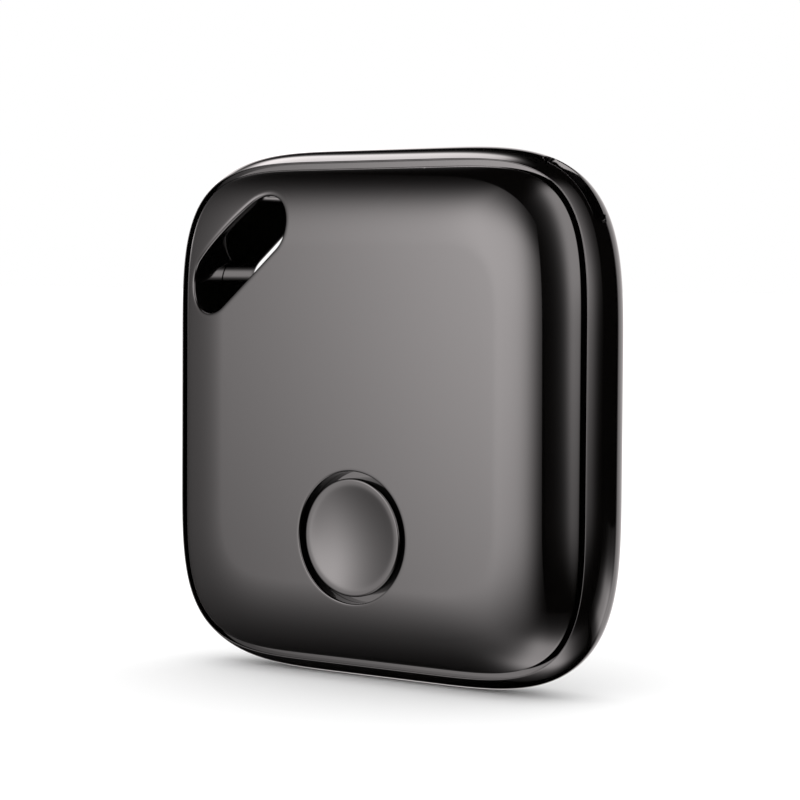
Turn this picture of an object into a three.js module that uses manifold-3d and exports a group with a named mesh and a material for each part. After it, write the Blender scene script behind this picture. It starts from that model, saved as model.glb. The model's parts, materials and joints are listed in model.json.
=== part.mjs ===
// Square key-finder tag: a two-part glossy casing with a slanted lanyard slot, a dished
// button over a tact switch, a circuit board with a buzzer, and a coin cell behind it.
// Millimetres. X is to the right, Z is up, and Y runs from the front face to the back.
import * as THREE from 'three';
import { mergeVertices } from 'three/addons/utils/BufferGeometryUtils.js';
import Module from 'manifold-3d';

const wasm = await Module();
wasm.setup();

// ---- Casing ----
const width = 38;
const height = 38;
const depth = 8;
const cornerPower = 3.78; // 2 would be a round corner, more is squarer
const casingReach = 15.7; // how far from the corner the outline starts to bend
const seamReach = 12.3; // the same at the front shell's edge, which is squarer
const seamInset = 1.42; // the front shell's edge stands in from the casing's outline
const seamDepth = 2.4; // from the front face to the front shell's edge
const seamGap = 0.15;
const frontReach = 7; // width of the rounded border of the front face
const lipInset = 0.93; // the rear shell's lip stands in from the casing's outline
const lipSet = 0.05; // the lip's crest lies behind the front shell's edge
const lipLean = 50; // the lip's face leans this far from forward, in degrees
const lipLand = 0.08; // width of the lip's crest
const rearRadius = 3.56; // the rear edge, from the widest place to the back
const channelDepth = 0.6; // of the groove between the lip and the front shell
const frontWall = 1;
const rearWall = 0.95;
const rimWall = 2.4; // rear shell's wall beside the seam
const sideWall = 3.3; // from the outline to the space inside
const ceilingInset = 5; // where the front wall's flat inner face begins
const fit = 0.1; // sliding clearance between pieces that nest
const touch = 0.05; // clearance between pieces that lie on each other
const cornerSteps = 12;
const curveSteps = 8;
const dishSteps = 5;

// ---- Lanyard slot ----
const slotFromSide = 8; // from the casing's left side to the slot's middle
const slotFromTop = 7.6;
const slotAngle = 40;
const slotRun = 6.5; // between the centres of its round ends
const slotWidth = 4.3;
const sleeveWall = 1;
const slotSeam = 4.1; // from the front face to the joint of the two sleeves
const slotMargin = 0.45; // inner pieces stay this far from the sleeve

// ---- Button ----
const buttonHole = 4.7;
const buttonGap = 0.5;
const buttonRim = 0.45;
const dishDepth = 0.5;
const buttonProud = -0.05;
const flangeWidth = 0.55; // beyond the hole
const flangeThickness = 0.3;
const buttonTravel = 0.25;

// ---- Pry notch at the upper right corner of the rear shell ----
const notchFrom = 26;
const notchTo = 64;
const notchHeight = 1.1;
const notchDepth = 0.7;
const notchAhead = 0.24; // its middle, in front of the widest place

// ---- Board and what is on it ----
const boardThickness = 0.8;
const innerMargin = 0.3; // from the casing's inside to the board and the carrier
const solder = 0.02;

// ---- Coin cell ----
const cellRadius = 10;
const cellThickness = 3.2;
const cellX = 0.5;
const cellZ = -0.5;
const cellGap = 0.4; // between the board and the cell, for the contact
const cellRoom = 0.15; // between the cell and the rear shell
const wellClearance = 0.25;

// ---- Screws ----
const screwFromSide = 7; // from the casing's sides, top and bottom
const screwShank = 0.65;
const screwHead = 1.25;
const screwHeadHeight = 0.6;
const bossRadius = 1.45;

// ---- Places that follow from these, along Y ----
const frontY = -depth / 2;
const backY = depth / 2;
const seamY = frontY + seamDepth;
const bulgeY = backY - rearRadius;
const lipY = seamY + lipSet;
const channelY = lipY + channelDepth;
const ceilingY = frontY + frontWall;
const floorY = backY - rearWall;
const cellBackY = floorY - cellRoom;
const cellY = cellBackY - cellThickness;
const boardBackY = cellY - cellGap;
const boardY = boardBackY - boardThickness;
const sleeveY = frontY + slotSeam;
const tongueY = seamY + 1.3;
const ledgeY = tongueY + 0.7;
const tongueInset = rimWall + fit;
const innerInset = sideWall + innerMargin;
const slotX = slotFromSide - width / 2;
const slotZ = height / 2 - slotFromTop;
const screwX = width / 2 - screwFromSide;
const screwZ = height / 2 - screwFromSide;
const buttonZ = ceilingInset + 2 * fit + flangeWidth + buttonHole - height / 2;
const notchY = bulgeY - notchAhead;
const flangeY = ceilingY + touch;
const capBackY = flangeY + flangeThickness;
const edgeDepth = seamDepth / (1 - Math.sqrt(1 - (1 - seamInset / frontReach) ** 2));

// ---- Materials ----
function finish(color, roughness, metalness = 0) {
  return new THREE.MeshStandardMaterial({ color, roughness, metalness });
}

const glossBlack = finish(0x0b0a0a, 0.08);
const satinBlack = finish(0x17171a, 0.5);
const rubberBlack = finish(0x1b1b1b, 0.85);
const boardGreen = finish(0x0d4a2b, 0.45);
const partCeramic = finish(0xb09a78, 0.5);
const chipBlack = finish(0x141414, 0.6);
const steel = finish(0xb9bcc0, 0.3, 1);
const brass = finish(0xc9a04a, 0.3, 1);
const whiteCeramic = finish(0xe8e4da, 0.6);
const tape = finish(0x9c8f78, 0.8);

const tag = new THREE.Group();

// ---- Geometry helpers ----
function solid(geometry) {
  const bare = geometry.clone();
  bare.deleteAttribute('normal');
  bare.deleteAttribute('uv');
  const merged = mergeVertices(bare, 1e-5);
  return new wasm.Manifold(new wasm.Mesh({
    numProp: 3,
    vertProperties: new Float32Array(merged.attributes.position.array),
    triVerts: new Uint32Array(merged.index.array),
  }));
}

function geometryOf(manifold) {
  const data = manifold.getMesh();
  const geometry = new THREE.BufferGeometry();
  geometry.setAttribute('position', new THREE.BufferAttribute(data.vertProperties, 3));
  geometry.setIndex(new THREE.BufferAttribute(data.triVerts, 1));
  return geometry;
}

function add(name, shape, material) {
  const geometry = shape.isBufferGeometry ? shape : geometryOf(shape);
  const mesh = new THREE.Mesh(geometry, material);
  mesh.name = name;
  tag.add(mesh);
  return mesh;
}

// A closed ring of points on a rounded square that stands `inset` inside the casing's
// outline; each corner is a quarter of a superellipse of the given reach.
function outline(inset, reach, y) {
  const points = [];
  const halfX = width / 2 - inset;
  const halfZ = height / 2 - inset;
  for (let corner = 0; corner < 4; corner += 1) {
    for (let step = 0; step <= cornerSteps; step += 1) {
      const angle = (corner + step / cornerSteps) * Math.PI / 2;
      const across = Math.cos(angle);
      const up = Math.sin(angle);
      const signX = corner === 0 || corner === 3 ? 1 : -1;
      const signZ = corner < 2 ? 1 : -1;
      points.push([
        signX * (halfX - reach + reach * Math.abs(across) ** (2 / cornerPower)),
        y,
        signZ * (halfZ - reach + reach * Math.abs(up) ** (2 / cornerPower)),
      ]);
    }
  }
  return points;
}

// A closed solid through a row of rings, front to back, capped at both ends.
function loft(rings) {
  const count = rings[0].length;
  const positions = rings.flat(2);
  const index = [];
  for (let ring = 0; ring < rings.length - 1; ring += 1) {
    for (let i = 0; i < count; i += 1) {
      const a = ring * count + i;
      const b = ring * count + (i + 1) % count;
      index.push(a, a + count, b, b, a + count, b + count);
    }
  }
  const middle = positions.length / 3;
  positions.push(0, rings[0][0][1], 0, 0, rings.at(-1)[0][1], 0);
  const last = (rings.length - 1) * count;
  for (let i = 0; i < count; i += 1) {
    const next = (i + 1) % count;
    index.push(middle, i, next);
    index.push(middle + 1, last + next, last + i);
  }
  const geometry = new THREE.BufferGeometry();
  geometry.setAttribute('position', new THREE.BufferAttribute(new Float32Array(positions), 3));
  geometry.setIndex(index);
  return solid(geometry);
}

const innerOutline = (inset, y) => outline(inset, seamReach + seamInset - inset, y);

function prism(inset, y0, y1) {
  return loft([innerOutline(inset, y0), innerOutline(inset, y1)]);
}

// A disc, ring or turned shape about Y; each profile point is [radius, y].
function turned(profile, x, z, segments = 48) {
  const points = profile.map(([radius, y]) => new THREE.Vector2(radius, y));
  const area = points.reduce((sum, p, i) => {
    const q = points[(i + 1) % points.length];
    return sum + p.x * q.y - q.x * p.y;
  }, 0);
  if (area < 0) points.reverse();
  points.push(points[0].clone());
  const geometry = new THREE.LatheGeometry(points, segments);
  geometry.translate(x, 0, z);
  return solid(geometry);
}

function disc(radius, y0, y1, x, z, segments = 48) {
  return turned([[0, y0], [radius, y0], [radius, y1], [0, y1]], x, z, segments);
}

function ring(inner, outer, y0, y1, x, z, segments = 48) {
  return turned([[inner, y0], [outer, y0], [outer, y1], [inner, y1]], x, z, segments);
}

function block(x, z, sizeX, sizeZ, y0, y1, turn = 0) {
  const geometry = new THREE.BoxGeometry(sizeX, y1 - y0, sizeZ);
  geometry.rotateY(-turn);
  geometry.translate(x, (y0 + y1) / 2, z);
  return solid(geometry);
}

// The lanyard slot's shape, widened by `wider` on every side, between two depths.
function slotPrism(wider, y0, y1) {
  const radius = slotWidth / 2 + wider;
  const shape = new THREE.Shape();
  shape.absarc(slotRun / 2, 0, radius, -Math.PI / 2, Math.PI / 2);
  shape.absarc(-slotRun / 2, 0, radius, Math.PI / 2, Math.PI * 1.5);
  const geometry = new THREE.ExtrudeGeometry(shape, {
    depth: y1 - y0, bevelEnabled: false, curveSegments: 12,
  });
  geometry.rotateX(Math.PI / 2);
  geometry.translate(0, y1, 0);
  geometry.rotateY(-slotAngle * Math.PI / 180);
  geometry.translate(slotX, 0, slotZ);
  return solid(geometry);
}

// A block that covers the slot's corner of the casing, from just inside the sleeve out.
function slotCorner() {
  const turn = slotAngle * Math.PI / 180;
  const reach = width;
  const near = slotWidth / 2 + sleeveWall + slotMargin;
  const away = reach / 2 - near;
  return block(
    slotX - Math.sin(turn) * away, slotZ + Math.cos(turn) * away,
    reach, reach, frontY, backY, turn,
  );
}

// A strip of sheet metal: a polyline of [along, y] points given a thickness and a width,
// laid from (x, z) in the direction `turn`.
function strip(path, thickness, stripWidth, x, z, turn) {
  const half = thickness / 2;
  const sides = [[], []];
  path.forEach(([along, y], i) => {
    const before = path[Math.max(i - 1, 0)];
    const after = path[Math.min(i + 1, path.length - 1)];
    const run = Math.hypot(after[0] - before[0], after[1] - before[1]);
    const stepAlong = (after[1] - before[1]) / run * half;
    const stepY = (after[0] - before[0]) / run * half;
    sides[0].push(new THREE.Vector2(along - stepAlong, y + stepY));
    sides[1].unshift(new THREE.Vector2(along + stepAlong, y - stepY));
  });
  const geometry = new THREE.ExtrudeGeometry(new THREE.Shape([...sides[0], ...sides[1]]), {
    depth: stripWidth, bevelEnabled: false,
  });
  geometry.translate(0, 0, -stripWidth / 2);
  geometry.rotateY(-turn);
  geometry.translate(x, 0, z);
  return solid(geometry);
}

// ---- Casing ----
function frontRings(endY) {
  const full = Math.asin(1 - seamInset / frontReach);
  const rings = [];
  for (let step = 0; step <= curveSteps; step += 1) {
    const angle = full * step / curveSteps;
    const inset = frontReach * (1 - Math.sin(angle));
    rings.push(innerOutline(inset, frontY + edgeDepth * (1 - Math.cos(angle))));
  }
  rings.push(innerOutline(tongueInset, seamY), innerOutline(tongueInset, endY));
  return rings;
}

const screwSpots = [[screwX, screwZ], [screwX, -screwZ], [-screwX, -screwZ]];

function frontShell() {
  const hollow = loft([
    innerOutline(ceilingInset, ceilingY),
    innerOutline(4.1, ceilingY + 0.35),
    innerOutline(3.4, ceilingY + 1.1),
    innerOutline(sideWall, seamY),
    innerOutline(sideWall, sleeveY + 1),
  ]);
  let shell = loft(frontRings(tongueY)).subtract(hollow);
  const sleeve = slotPrism(sleeveWall, frontY, sleeveY).intersect(loft(frontRings(sleeveY)));
  shell = shell.add(sleeve);
  for (const [x, z] of screwSpots) {
    shell = shell.add(disc(bossRadius, ceilingY - 0.3, boardY - touch, x, z, 24));
    shell = shell.subtract(disc(screwShank + fit, ceilingY + 0.15, boardY, x, z, 16));
  }
  shell = shell.subtract(slotPrism(0, frontY - 1, sleeveY + 1));
  return shell.subtract(disc(buttonHole, frontY - 1, ceilingY + 0.5, 0, buttonZ));
}

function notch() {
  const points = [];
  const inner = [];
  const steps = 10;
  for (let step = 0; step <= steps; step += 1) {
    const angle = (notchFrom + (notchTo - notchFrom) * step / steps) * Math.PI / 180;
    const bend = (half, reach, part) => half - reach + reach * part ** (2 / cornerPower);
    const across = Math.cos(angle);
    const up = Math.sin(angle);
    points.push(new THREE.Vector2(
      bend(width / 2 + 1, casingReach + 1, across), bend(height / 2 + 1, casingReach + 1, up),
    ));
    inner.unshift(new THREE.Vector2(
      bend(width / 2 - notchDepth, casingReach - notchDepth, across),
      bend(height / 2 - notchDepth, casingReach - notchDepth, up),
    ));
  }
  const geometry = new THREE.ExtrudeGeometry(new THREE.Shape([...points, ...inner]), {
    depth: notchHeight, bevelEnabled: false,
  });
  geometry.rotateX(Math.PI / 2);
  geometry.translate(0, notchY + notchHeight / 2, 0);
  return solid(geometry);
}

// The corners grow rounder from the seam to the widest place.
function lipOutline(inset, y) {
  return outline(inset, casingReach - (casingReach - seamReach) * inset / seamInset, y);
}

function rearShell() {
  const rings = [lipOutline(lipInset + lipLand, lipY)];
  const bendY = lipY + lipInset * Math.tan(lipLean * Math.PI / 180);
  for (let step = 0; step <= curveSteps; step += 1) {
    const t = step / curveSteps;
    const y = (1 - t) ** 2 * lipY + 2 * t * (1 - t) * bendY + t ** 2 * bulgeY;
    rings.push(lipOutline(lipInset * (1 - t) ** 2, y));
  }
  for (let step = 1; step <= curveSteps; step += 1) {
    const angle = step / curveSteps * Math.PI / 2;
    const inset = rearRadius * (1 - Math.cos(angle));
    rings.push(outline(inset, casingReach - inset, bulgeY + rearRadius * Math.sin(angle)));
  }
  const outer = loft(rings);
  const channel = loft([
    lipOutline(lipInset + lipLand, frontY),
    lipOutline(lipInset + lipLand, channelY),
  ]);
  const hollow = loft([
    innerOutline(rimWall, frontY),
    innerOutline(rimWall, ledgeY),
    innerOutline(sideWall, ledgeY),
    innerOutline(sideWall, floorY - 0.5),
    innerOutline(sideWall + 0.6, floorY),
  ]);
  const sleeve = slotPrism(sleeveWall, sleeveY + seamGap, backY).intersect(outer);
  return outer.subtract(channel).subtract(hollow).add(sleeve)
    .subtract(slotPrism(0, frontY, backY + 1))
    .subtract(notch());
}

function caseSeal() {
  const seal = prism(tongueInset, tongueY + touch, ledgeY - touch)
    .subtract(prism(sideWall - fit, frontY, backY));
  return seal.subtract(slotCorner());
}

// ---- Button and tact switch ----
function buttonCap() {
  const radius = buttonHole - buttonGap;
  const dish = radius - buttonRim;
  const faceY = frontY - buttonProud;
  const profile = [[0, capBackY], [buttonHole + flangeWidth, capBackY],
    [buttonHole + flangeWidth, flangeY], [radius, flangeY], [radius, faceY + buttonRim / 3],
    [radius - buttonRim / 3, faceY], [dish + buttonRim / 4, faceY]];
  for (let step = 0; step <= dishSteps; step += 1) {
    const r = dish * (1 - step / dishSteps);
    profile.push([r, faceY + 0.05 + dishDepth * (1 - (r / dish) ** 2)]);
  }
  return turned(profile, 0, buttonZ);
}

const switchSize = 4.4;
const plungerRadius = 0.85;
const coverY = boardY - 0.82;

function switchBody() {
  return block(0, buttonZ, switchSize - 0.1, switchSize - 0.1, boardY - 0.5, boardY - solder)
    .subtract(disc(1.75, boardY - 0.6, boardY - 0.14, 0, buttonZ, 32));
}

function switchDome() {
  return turned([[0, boardY - 0.46], [0.8, boardY - 0.41], [1.55, boardY - 0.26],
    [1.55, boardY - 0.18], [0.8, boardY - 0.33], [0, boardY - 0.38]], 0, buttonZ, 32);
}

function switchPlunger() {
  return turned([[0, capBackY + touch], [plungerRadius, capBackY + touch],
    [plungerRadius, boardY - 0.64], [1.2, boardY - 0.64], [1.2, boardY - 0.52],
    [0, boardY - 0.52]], 0, buttonZ, 32);
}

function switchCover() {
  const half = switchSize / 2;
  const sheet = 0.12;
  return block(0, buttonZ, switchSize + 2 * sheet, switchSize, coverY, coverY + sheet)
    .add(block(half + sheet / 2, buttonZ, sheet, switchSize, coverY, boardY - 0.1))
    .add(block(-half - sheet / 2, buttonZ, sheet, switchSize, coverY, boardY - 0.1))
    .subtract(disc(plungerRadius + fit, coverY - 1, coverY + 1, 0, buttonZ, 32));
}

// ---- Board, carrier and screws ----
function mainBoard() {
  let board = prism(innerInset, boardY, boardBackY).subtract(slotCorner());
  for (const [x, z] of screwSpots) {
    board = board.subtract(disc(screwShank + 2 * fit, boardY - 1, boardBackY + 1, x, z, 24));
  }
  return board;
}

const lugY = boardBackY + 1.3;
const contactAngles = [15, 200];

function cellCarrier() {
  const carrierY = boardBackY + touch;
  const carrierBackY = cellBackY - 0.6;
  let carrier = prism(innerInset, carrierY, carrierBackY).subtract(slotCorner());
  carrier = carrier.subtract(disc(cellRadius + wellClearance, frontY, backY, cellX, cellZ));
  for (const [x, z] of screwSpots) {
    carrier = carrier
      .subtract(disc(screwHead + 3 * fit, lugY, backY, x, z, 24))
      .subtract(disc(screwShank + 2 * fit, frontY, backY, x, z, 24));
  }
  for (const degrees of contactAngles) {
    const turn = degrees * Math.PI / 180;
    const middle = cellRadius + 1.2;
    carrier = carrier.subtract(block(
      cellX + middle * Math.cos(turn), cellZ + middle * Math.sin(turn), 3.6, 3.6, frontY, backY, turn,
    ));
  }
  const finger = disc(3, boardBackY + 0.9, backY, cellX, cellZ - cellRadius, 32);
  return carrier.subtract(finger);
}

function carrierScrew(x, z) {
  const headY = lugY + touch;
  const headBackY = headY + screwHeadHeight;
  const drive = block(x, z, screwHead * 1.4, 0.3, headBackY - 0.25, headBackY + 1)
    .add(block(x, z, 0.3, screwHead * 1.4, headBackY - 0.25, headBackY + 1));
  return turned([[0, ceilingY + 0.4], [0.35, ceilingY + 0.4], [screwShank, ceilingY + 0.7],
    [screwShank, headY], [screwHead, headY], [screwHead, headBackY - 0.15],
    [screwHead - 0.2, headBackY], [0, headBackY]], x, z, 24).subtract(drive);
}

// ---- Coin cell and its contacts ----
const canWall = 0.28;
const capRadius = 8.85;

function cellCan() {
  return turned([[0, cellBackY], [cellRadius - 0.2, cellBackY], [cellRadius, cellBackY - 0.2],
    [cellRadius, cellY + 0.4], [cellRadius - 0.35, cellY + 0.18], [cellRadius - 0.6, cellY + 0.18],
    [cellRadius - 0.6, cellY + 0.34], [cellRadius - canWall, cellY + 0.5],
    [cellRadius - canWall, cellBackY - canWall], [0, cellBackY - canWall]], cellX, cellZ);
}

function cellGasket() {
  const outer = cellRadius - canWall - 0.02;
  return turned([[capRadius + 0.03, cellY + 0.2], [cellRadius - 0.65, cellY + 0.2],
    [cellRadius - 0.65, cellY + 0.4], [outer, cellY + 0.54], [outer, cellBackY - canWall - 0.05],
    [outer - 0.25, cellBackY - canWall - 0.05], [outer - 0.25, cellY + 0.6],
    [capRadius + 0.03, cellY + 0.5]], cellX, cellZ);
}

function cellCap() {
  const wide = cellRadius - canWall - 0.32;
  return turned([[0, cellY], [capRadius - 0.25, cellY], [capRadius, cellY + 0.2],
    [capRadius, cellY + 0.55], [wide, cellY + 0.66], [wide, cellBackY - canWall - 0.05],
    [0, cellBackY - canWall - 0.05]], cellX, cellZ);
}

function positiveContact(degrees) {
  const foot = boardBackY + 0.1;
  const path = [[cellRadius + 2.4, foot], [cellRadius + 0.75, foot],
    [cellRadius + 0.55, foot + 0.15], [cellRadius + 0.17, foot + 1.6],
    [cellRadius + 0.5, foot + 2.4]];
  return strip(path, 0.14, 3, cellX, cellZ, degrees * Math.PI / 180);
}

function negativeContact() {
  const foot = boardBackY + 0.08;
  const path = [[-4, foot], [-1, foot], [3, cellY - 0.13], [4, cellY - 0.18]];
  return strip(path, 0.12, 3, cellX, cellZ, 0);
}

// ---- Buzzer ----
const buzzerX = 4.5;
const buzzerZ = 5.5;
const buzzerRadius = 6.5;
const tapeY = ceilingY + 0.02;
const plateY = tapeY + 0.16;
const crystalY = plateY + 0.22;

function buzzerContact(offset, reachY) {
  const foot = boardY - 0.08;
  const path = [[-1.6, foot], [0, foot], [1.6, reachY + 0.12], [2.4, reachY + 0.12]];
  return strip(path, 0.1, 1.2, buzzerX + offset, buzzerZ - 3.2, 0);
}

// ---- Small parts soldered to the front of the board ----
const parts = [
  { name: 'bluetooth_chip', x: -7.5, z: 0.5, sizeX: 5, sizeZ: 5, tall: 0.8, material: chipBlack },
  { name: 'flash_chip', x: -9.5, z: -6.5, sizeX: 3, sizeZ: 2, tall: 0.55, material: chipBlack },
  { name: 'crystal', x: -12.6, z: 0.5, sizeX: 2, sizeZ: 1.6, tall: 0.5, material: steel },
  { name: 'slow_crystal', x: -12.6, z: -3, sizeX: 1.5, sizeZ: 3.2, tall: 0.6, material: steel },
  { name: 'chip_antenna', x: 13.2, z: -3, sizeX: 1.6, sizeZ: 6.5, tall: 0.9, material: whiteCeramic },
  { name: 'boost_coil', x: 8, z: -6, sizeX: 2.5, sizeZ: 2, tall: 0.8, material: rubberBlack },
];

function smallParts() {
  for (const part of parts) {
    const body = block(part.x, part.z, part.sizeX, part.sizeZ, boardY - part.tall, boardY - solder);
    add(part.name, body, part.material);
  }
  for (let i = 0; i < 6; i += 1) {
    const chip = block(-11 + 1.7 * i, 4.6, 0.6, 1.1, boardY - 0.55, boardY - solder);
    add(`capacitor_${i + 1}`, chip, partCeramic);
  }
  for (let i = 0; i < 4; i += 1) {
    const chip = block(10.6, -1.5 - 1.5 * i, 1.1, 0.6, boardY - 0.4, boardY - solder);
    add(`resistor_${i + 1}`, chip, chipBlack);
  }
}

// ---- Assembly ----
add('front_shell', frontShell(), glossBlack);
add('rear_shell', rearShell(), glossBlack);
add('case_seal', caseSeal(), rubberBlack);
add('button_cap', buttonCap(), glossBlack);
add('switch_body', switchBody(), satinBlack);
add('switch_dome', switchDome(), steel);
add('switch_plunger', switchPlunger(), satinBlack);
add('switch_cover', switchCover(), steel);
add('main_board', mainBoard(), boardGreen);
add('cell_carrier', cellCarrier(), satinBlack);
screwSpots.forEach(([x, z], i) => add(`carrier_screw_${i + 1}`, carrierScrew(x, z), steel));
add('cell_can', cellCan(), steel);
add('cell_gasket', cellGasket(), satinBlack);
add('cell_cap', cellCap(), steel);
contactAngles.forEach((degrees, i) => {
  add(`positive_contact_${i + 1}`, positiveContact(degrees), brass);
});
add('negative_contact', negativeContact(), brass);
add('buzzer_tape', ring(buzzerRadius - 1, buzzerRadius, tapeY, plateY - 0.02, buzzerX, buzzerZ), tape);
add('buzzer_plate', disc(buzzerRadius, plateY, crystalY - 0.02, buzzerX, buzzerZ), brass);
add('buzzer_ceramic', disc(4.6, crystalY, crystalY + 0.15, buzzerX, buzzerZ), whiteCeramic);
add('buzzer_contact_1', buzzerContact(-1, crystalY + 0.15), brass);
add('buzzer_contact_2', buzzerContact(3.2, crystalY), brass);
smallParts();

export default tag;
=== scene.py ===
import json
import math

import bmesh
import bpy
import numpy as np
from mathutils import Matrix, Vector


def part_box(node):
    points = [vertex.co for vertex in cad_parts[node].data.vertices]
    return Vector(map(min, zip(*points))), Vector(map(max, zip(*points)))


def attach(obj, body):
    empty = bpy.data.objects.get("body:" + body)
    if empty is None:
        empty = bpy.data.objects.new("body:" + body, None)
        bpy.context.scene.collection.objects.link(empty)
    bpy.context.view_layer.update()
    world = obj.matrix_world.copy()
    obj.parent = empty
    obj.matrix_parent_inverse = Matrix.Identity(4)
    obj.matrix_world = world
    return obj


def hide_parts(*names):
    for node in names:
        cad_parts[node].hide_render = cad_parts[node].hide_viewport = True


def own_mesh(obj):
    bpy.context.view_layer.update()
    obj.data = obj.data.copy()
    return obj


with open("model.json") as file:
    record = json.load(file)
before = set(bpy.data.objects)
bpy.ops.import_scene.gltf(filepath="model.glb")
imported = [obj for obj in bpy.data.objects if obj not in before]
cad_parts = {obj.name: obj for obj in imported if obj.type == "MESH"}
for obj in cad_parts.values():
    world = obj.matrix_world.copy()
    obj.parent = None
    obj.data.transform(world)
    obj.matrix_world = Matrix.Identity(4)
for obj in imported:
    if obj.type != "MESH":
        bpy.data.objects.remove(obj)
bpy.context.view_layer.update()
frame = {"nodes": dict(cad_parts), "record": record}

mm = 0.001  # every size below is in millimetres; meshes are made in metres


def nodeBox(node):
    # lowest and highest corner of a CAD piece, in millimetres
    low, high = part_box(node)
    return np.array(low) / mm, np.array(high) / mm


caseLow, caseHigh = nodeBox("rear_shell")
faceLow = nodeBox("front_shell")[0]

casing = {
    "half": caseHigh[0],        # half the width, which is also half the height
    "frontY": faceLow[1],
    "backY": caseHigh[1],
    "cornerPower": 3.78,        # 2 is a round corner, more is squarer
    "casingReach": 15.7,        # corner size at the widest place
    "seamReach": 12.3,          # corner size at the seam
    "seamInset": 1.42,          # the seam stands in from the outline
    "seamDepth": 2.4,           # the seam lies behind the face
    "faceReach": 7.0,           # width of the rounded border of the face
    "edgeRadius": 0.05,         # round of the front shell's thin edge
    "lipLean": math.radians(50),  # how far the lip's face leans from forward
    "lipWall": 1.01,            # inset of the lip's inner side, which bounds the groove beside the seam
    "lipSet": 0.05,             # the lip's edge lies behind the seam
    "lipCrest": 0.05,           # round of the lip's edge
    "grooveDepth": 0.6,
    "rearRadius": 3.56,
    "columns": 520,             # grid lines round the outline
}

slot = {
    "middle": np.array([-11.0, 11.4]),
    "turn": math.radians(40),
    "halfRun": 3.25,
    "radius": 2.15,
    "rim": 0.35,
    "sleeve": 1.0,
    "seamY": casing["frontY"] + 4.1,
    "seamGap": 0.15,
}

button = {
    "middle": np.array([0.0, -8.55]),
    "holeRadius": 4.7,
    "holeRim": 0.12,
    "capRadius": 4.2,
    "capEdge": 0.16,
    "dishRadius": 3.72,
    "dishDepth": 0.55,
    "dishBlend": 0.05,
    "faceY": nodeBox("button_cap")[0][1],
    "backY": nodeBox("button_cap")[1][1],
    "flangeRadius": 5.25,
    "flange": 0.3,
}

notch = {
    "from": 27.0,               # degrees round the upper right corner
    "to": 64.0,
    "middleY": 0.2,
    "height": 1.1,
    "depth": 0.72,
    "edge": 0.07,
}


# Meshes from grids

def stackSheets(sheets):
    # Joins grids of points (rows, columns, 3) into one list of points and four-sided faces.
    points, faces, start = [], [], 0
    for grid, closed in sheets:
        rows, columns = grid.shape[:2]
        index = start + np.arange(rows * columns).reshape(rows, columns)
        if closed:
            index = np.concatenate([index, index[:, :1]], axis=1)
        quads = np.stack([index[:-1, :-1], index[:-1, 1:], index[1:, 1:], index[1:, :-1]], -1)
        faces.append(quads.reshape(-1, 4))
        points.append(grid.reshape(-1, 3))
        start += rows * columns
    return np.concatenate(points), np.concatenate(faces)


def meshFromGrid(name, points, faces):
    mesh = bpy.data.meshes.new(name)
    mesh.vertices.add(len(points))
    mesh.vertices.foreach_set("co", (points * mm).astype(np.float32).ravel())
    mesh.loops.add(faces.size)
    mesh.loops.foreach_set("vertex_index", faces.astype(np.int32).ravel())
    mesh.polygons.add(len(faces))
    mesh.polygons.foreach_set("loop_start", np.arange(0, faces.size, 4, dtype=np.int32))
    mesh.update(calc_edges=True)
    return mesh


def closeMesh(mesh, sharpAngle):
    # Shared borders are merged, faces are turned outwards, and edges sharper than the angle stay crisp.
    work = bmesh.new()
    work.from_mesh(mesh)
    bmesh.ops.remove_doubles(work, verts=work.verts, dist=0.0004 * mm)
    bmesh.ops.dissolve_degenerate(work, edges=work.edges, dist=0.0001 * mm)
    bmesh.ops.recalc_face_normals(work, faces=work.faces)
    work.to_mesh(mesh)
    work.free()
    mesh.shade_smooth()
    mesh.set_sharp_from_angle(angle=math.radians(sharpAngle))


def addPiece(name, sheets, body, material, replaced=(), sharpAngle=32):
    points, faces = stackSheets(sheets)
    mesh = meshFromGrid(name, points, faces)
    closeMesh(mesh, sharpAngle)
    return placePiece(name, mesh, body, material, replaced)


def placePiece(name, mesh, body, material, replaced=()):
    piece = bpy.data.objects.new(name, mesh)
    bpy.context.scene.collection.objects.link(piece)
    mesh.materials.clear()
    mesh.materials.append(material)
    if replaced:
        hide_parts(*replaced)
    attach(piece, body)
    return piece


# The casing's outline

def outlineTable(steps=2400):
    # Each point is x = a(half - reach) + b reach and z = c(half - reach) + d reach, so one table serves every
    # inset: on a corner a, c are the signs and b, d are |cos| and |sin| to the power 2 / p; on a side b or d is 0.
    turn = np.linspace(0, math.pi / 2, steps)
    bendX = np.cos(turn) ** (2 / casing["cornerPower"])
    bendZ = np.sin(turn) ** (2 / casing["cornerPower"])
    bendX[-1] = 0
    quarters = []
    for corner, (signX, signZ) in enumerate(((1, 1), (-1, 1), (-1, -1), (1, -1))):
        order = slice(None) if corner % 2 == 0 else slice(None, None, -1)
        bx, bz = bendX[order], bendZ[order]
        one = np.ones(steps)
        angle = np.degrees(turn) + 90 * corner
        quarters.append(np.stack([signX * one, signX * bx, signZ * one, signZ * bz, angle]))
        # the straight side up to the next corner
        run = np.linspace(1, -1, 200)
        none = 0 * run
        sideAngle = 90 + 90 * corner + none
        if corner % 2 == 0:
            side = np.stack([signX * run, none, signZ + none, signZ + none, sideAngle])
        else:
            side = np.stack([signX + none, signX + none, signZ * run, none, sideAngle])
        quarters.append(side)
    table = np.concatenate(quarters, axis=1)
    length = outlineLength(table)
    keep = np.concatenate([[True], np.diff(length) > 1e-7])
    return table[:, keep]


def ringPoints(table, inset, reach):
    # x and z of the outline that stands `inset` inside the casing, with corners of the given reach
    core = casing["half"] - inset - reach
    return np.stack([table[0] * core + table[1] * reach, table[2] * core + table[3] * reach], axis=-1)


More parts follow.
